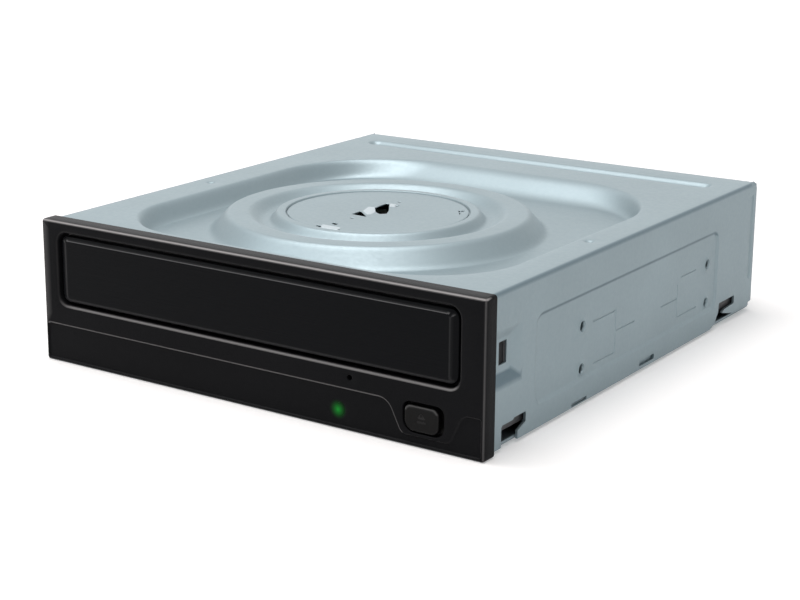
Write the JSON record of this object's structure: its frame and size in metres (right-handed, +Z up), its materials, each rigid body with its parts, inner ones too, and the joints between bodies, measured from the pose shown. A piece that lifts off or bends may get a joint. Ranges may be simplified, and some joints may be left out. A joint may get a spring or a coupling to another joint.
{
  "type": "internal dvd writer",
  "caption": "Half-height internal disc drive for a desktop bay: pressed steel body, black bezel, sliding disc tray, eject button, tilting disc mechanism with sled and clamper.",
  "frame": {"origin": "middle of the underside of the whole drive's box, at the bezel's lower edge", "axes": "+X to the right seen from the front, +Y from the bezel to the back, +Z up"},
  "size_m": [0.148, 0.166, 0.042],
  "materials": {
    "zinc_steel": "zinc-plated sheet, satin, pale blue-grey",
    "bright_steel": "turned or stamped, bright",
    "deck_steel": "stamped, satin",
    "bezel_black": "fine moulded texture, black",
    "panel_black": "fine brushed lines, black with a cold tint",
    "tray_black": "fine moulded texture",
    "frame_black": "moulded, matt",
    "natural_moulding": "unpainted slippery moulding",
    "rubber": "soft, matt",
    "lamp_green": "clear moulding lit green from behind",
    "board_green": "solder mask over glass fibre",
    "chip_black": "moulded, matt",
    "lamp_white": "cast clear resin",
    "cast_metal": "die-cast, matt",
    "can_aluminium": "drawn can",
    "contact_gold": "gold-flashed contacts",
    "lens_clear": "coated plastic lens"
  },
  "bodies": {
    "chassis": {"top_cover": "zinc_steel", "bottom_cover": "zinc_steel", "cover_screws": "bright_steel", "clamp_plate": "zinc_steel", "clamper_holder": "frame_black", "front_bezel": "bezel_black", "main_frame": "frame_black", "loading_motor": "bright_steel", "drive_belt": "rubber", "eject_switch": "chip_black", "status_lamp": "lamp_white", "light_guide": "lamp_green", "front_board": "board_green", "main_board": "board_green", "board_screws": "bright_steel", "controller_chip": "chip_black", "small_chips": "chip_black", "capacitors": "can_aluminium", "rear_socket": "chip_black", "socket_contacts": "contact_gold"},
    "tray": {"disc_tray": "tray_black", "tray_panel": "panel_black"},
    "button": {"eject_button": "bezel_black"},
    "motor_pulley_body": {"motor_pulley": "natural_moulding"},
    "pulley_body": {"pulley_gear": "natural_moulding"},
    "drive_gear_body": {"drive_gear": "natural_moulding"},
    "slider": {"cam_slider": "natural_moulding"},
    "mechanism": {"lift_frame": "frame_black", "dampers": "rubber", "damper_screws": "bright_steel", "traverse_frame": "deck_steel", "rod_holders": "frame_black", "main_guide_rod": "bright_steel", "side_guide_rod": "bright_steel", "sled_motor": "bright_steel", "spindle_motor_base": "deck_steel"},
    "spindle": {"spindle_rotor": "bright_steel", "turntable": "natural_moulding", "turntable_pad": "rubber"},
    "screw": {"lead_screw": "bright_steel"},
    "carriage": {"pickup_body": "cast_metal", "carriage_nut": "natural_moulding"},
    "lens": {"lens_holder": "chip_black", "objective_lens": "lens_clear"},
    "puck": {"clamper": "natural_moulding", "clamper_yoke": "bright_steel"}
  },
  "joints": [
    {"name": "tray_slide", "type": "slide", "parent": "chassis", "child": "tray", "axis": [0, -1, 0], "range_m": [0, 0.132]},
    {"name": "eject_button_press", "type": "slide", "parent": "chassis", "child": "button", "axis": [0, 1, 0], "range_m": [0, 0.0008], "stiffness_N_per_m": 500},
    {"name": "drive_gear_turn", "type": "hinge", "parent": "chassis", "child": "drive_gear_body", "pos_m": [-0.05, -0.061, 0.022], "axis": [0, 0, 1], "range_deg": [0, 947.3]},
    {"name": "pulley_gear_turn", "type": "hinge", "parent": "chassis", "child": "pulley_body", "pos_m": [-0.03305, -0.05199, 0.022], "axis": [0, 0, 1], "range_deg": [-2841.8, 0]},
    {"name": "motor_pulley_turn", "type": "hinge", "parent": "chassis", "child": "motor_pulley_body", "pos_m": [-0.005, -0.059, 0.022], "axis": [0, 0, 1], "range_deg": [-8146.5, 0]},
    {"name": "mechanism_tilt", "type": "hinge", "parent": "chassis", "child": "mechanism", "pos_m": [0, 0.065, 0.0125], "axis": [1, 0, 0], "range_deg": [0, 4]},
    {"name": "cam_slide", "type": "slide", "parent": "chassis", "child": "slider", "axis": [1, 0, 0], "range_m": [0, 0.01322]},
    {"name": "spindle_turn", "type": "hinge", "parent": "mechanism", "child": "spindle", "pos_m": [-0.0018, -0.018, 0.028], "axis": [0, 0, 1], "continuous": true},
    {"name": "pickup_slide", "type": "slide", "parent": "mechanism", "child": "carriage", "axis": [0, 1, 0], "range_m": [0, 0.034]},
    {"name": "lead_screw_turn", "type": "hinge", "parent": "mechanism", "child": "screw", "pos_m": [0.037, 0.027, 0.0206], "axis": [0, 1, 0], "range_deg": [-4088.2, 0]},
    {"name": "lens_focus", "type": "slide", "parent": "carriage", "child": "lens", "axis": [0, 0, 1], "range_m": [-0.0005, 0.0005], "stiffness_N_per_m": 60},
    {"name": "clamper_turn", "type": "hinge", "parent": "chassis", "child": "puck", "pos_m": [-0.0018, -0.018, 0.035], "axis": [0, 0, 1], "continuous": true}
  ],
  "couplings": [
    {"joint": "drive_gear_turn", "follows": "tray_slide", "rad_per_m": 125},
    {"joint": "pulley_gear_turn", "follows": "tray_slide", "rad_per_m": -375},
    {"joint": "motor_pulley_turn", "follows": "tray_slide", "rad_per_m": -1075},
    {"joint": "cam_slide", "follows": "mechanism_tilt", "m_per_rad": 0.18899},
    {"joint": "lead_screw_turn", "follows": "pickup_slide", "rad_per_m": -2094.4}
  ]
}
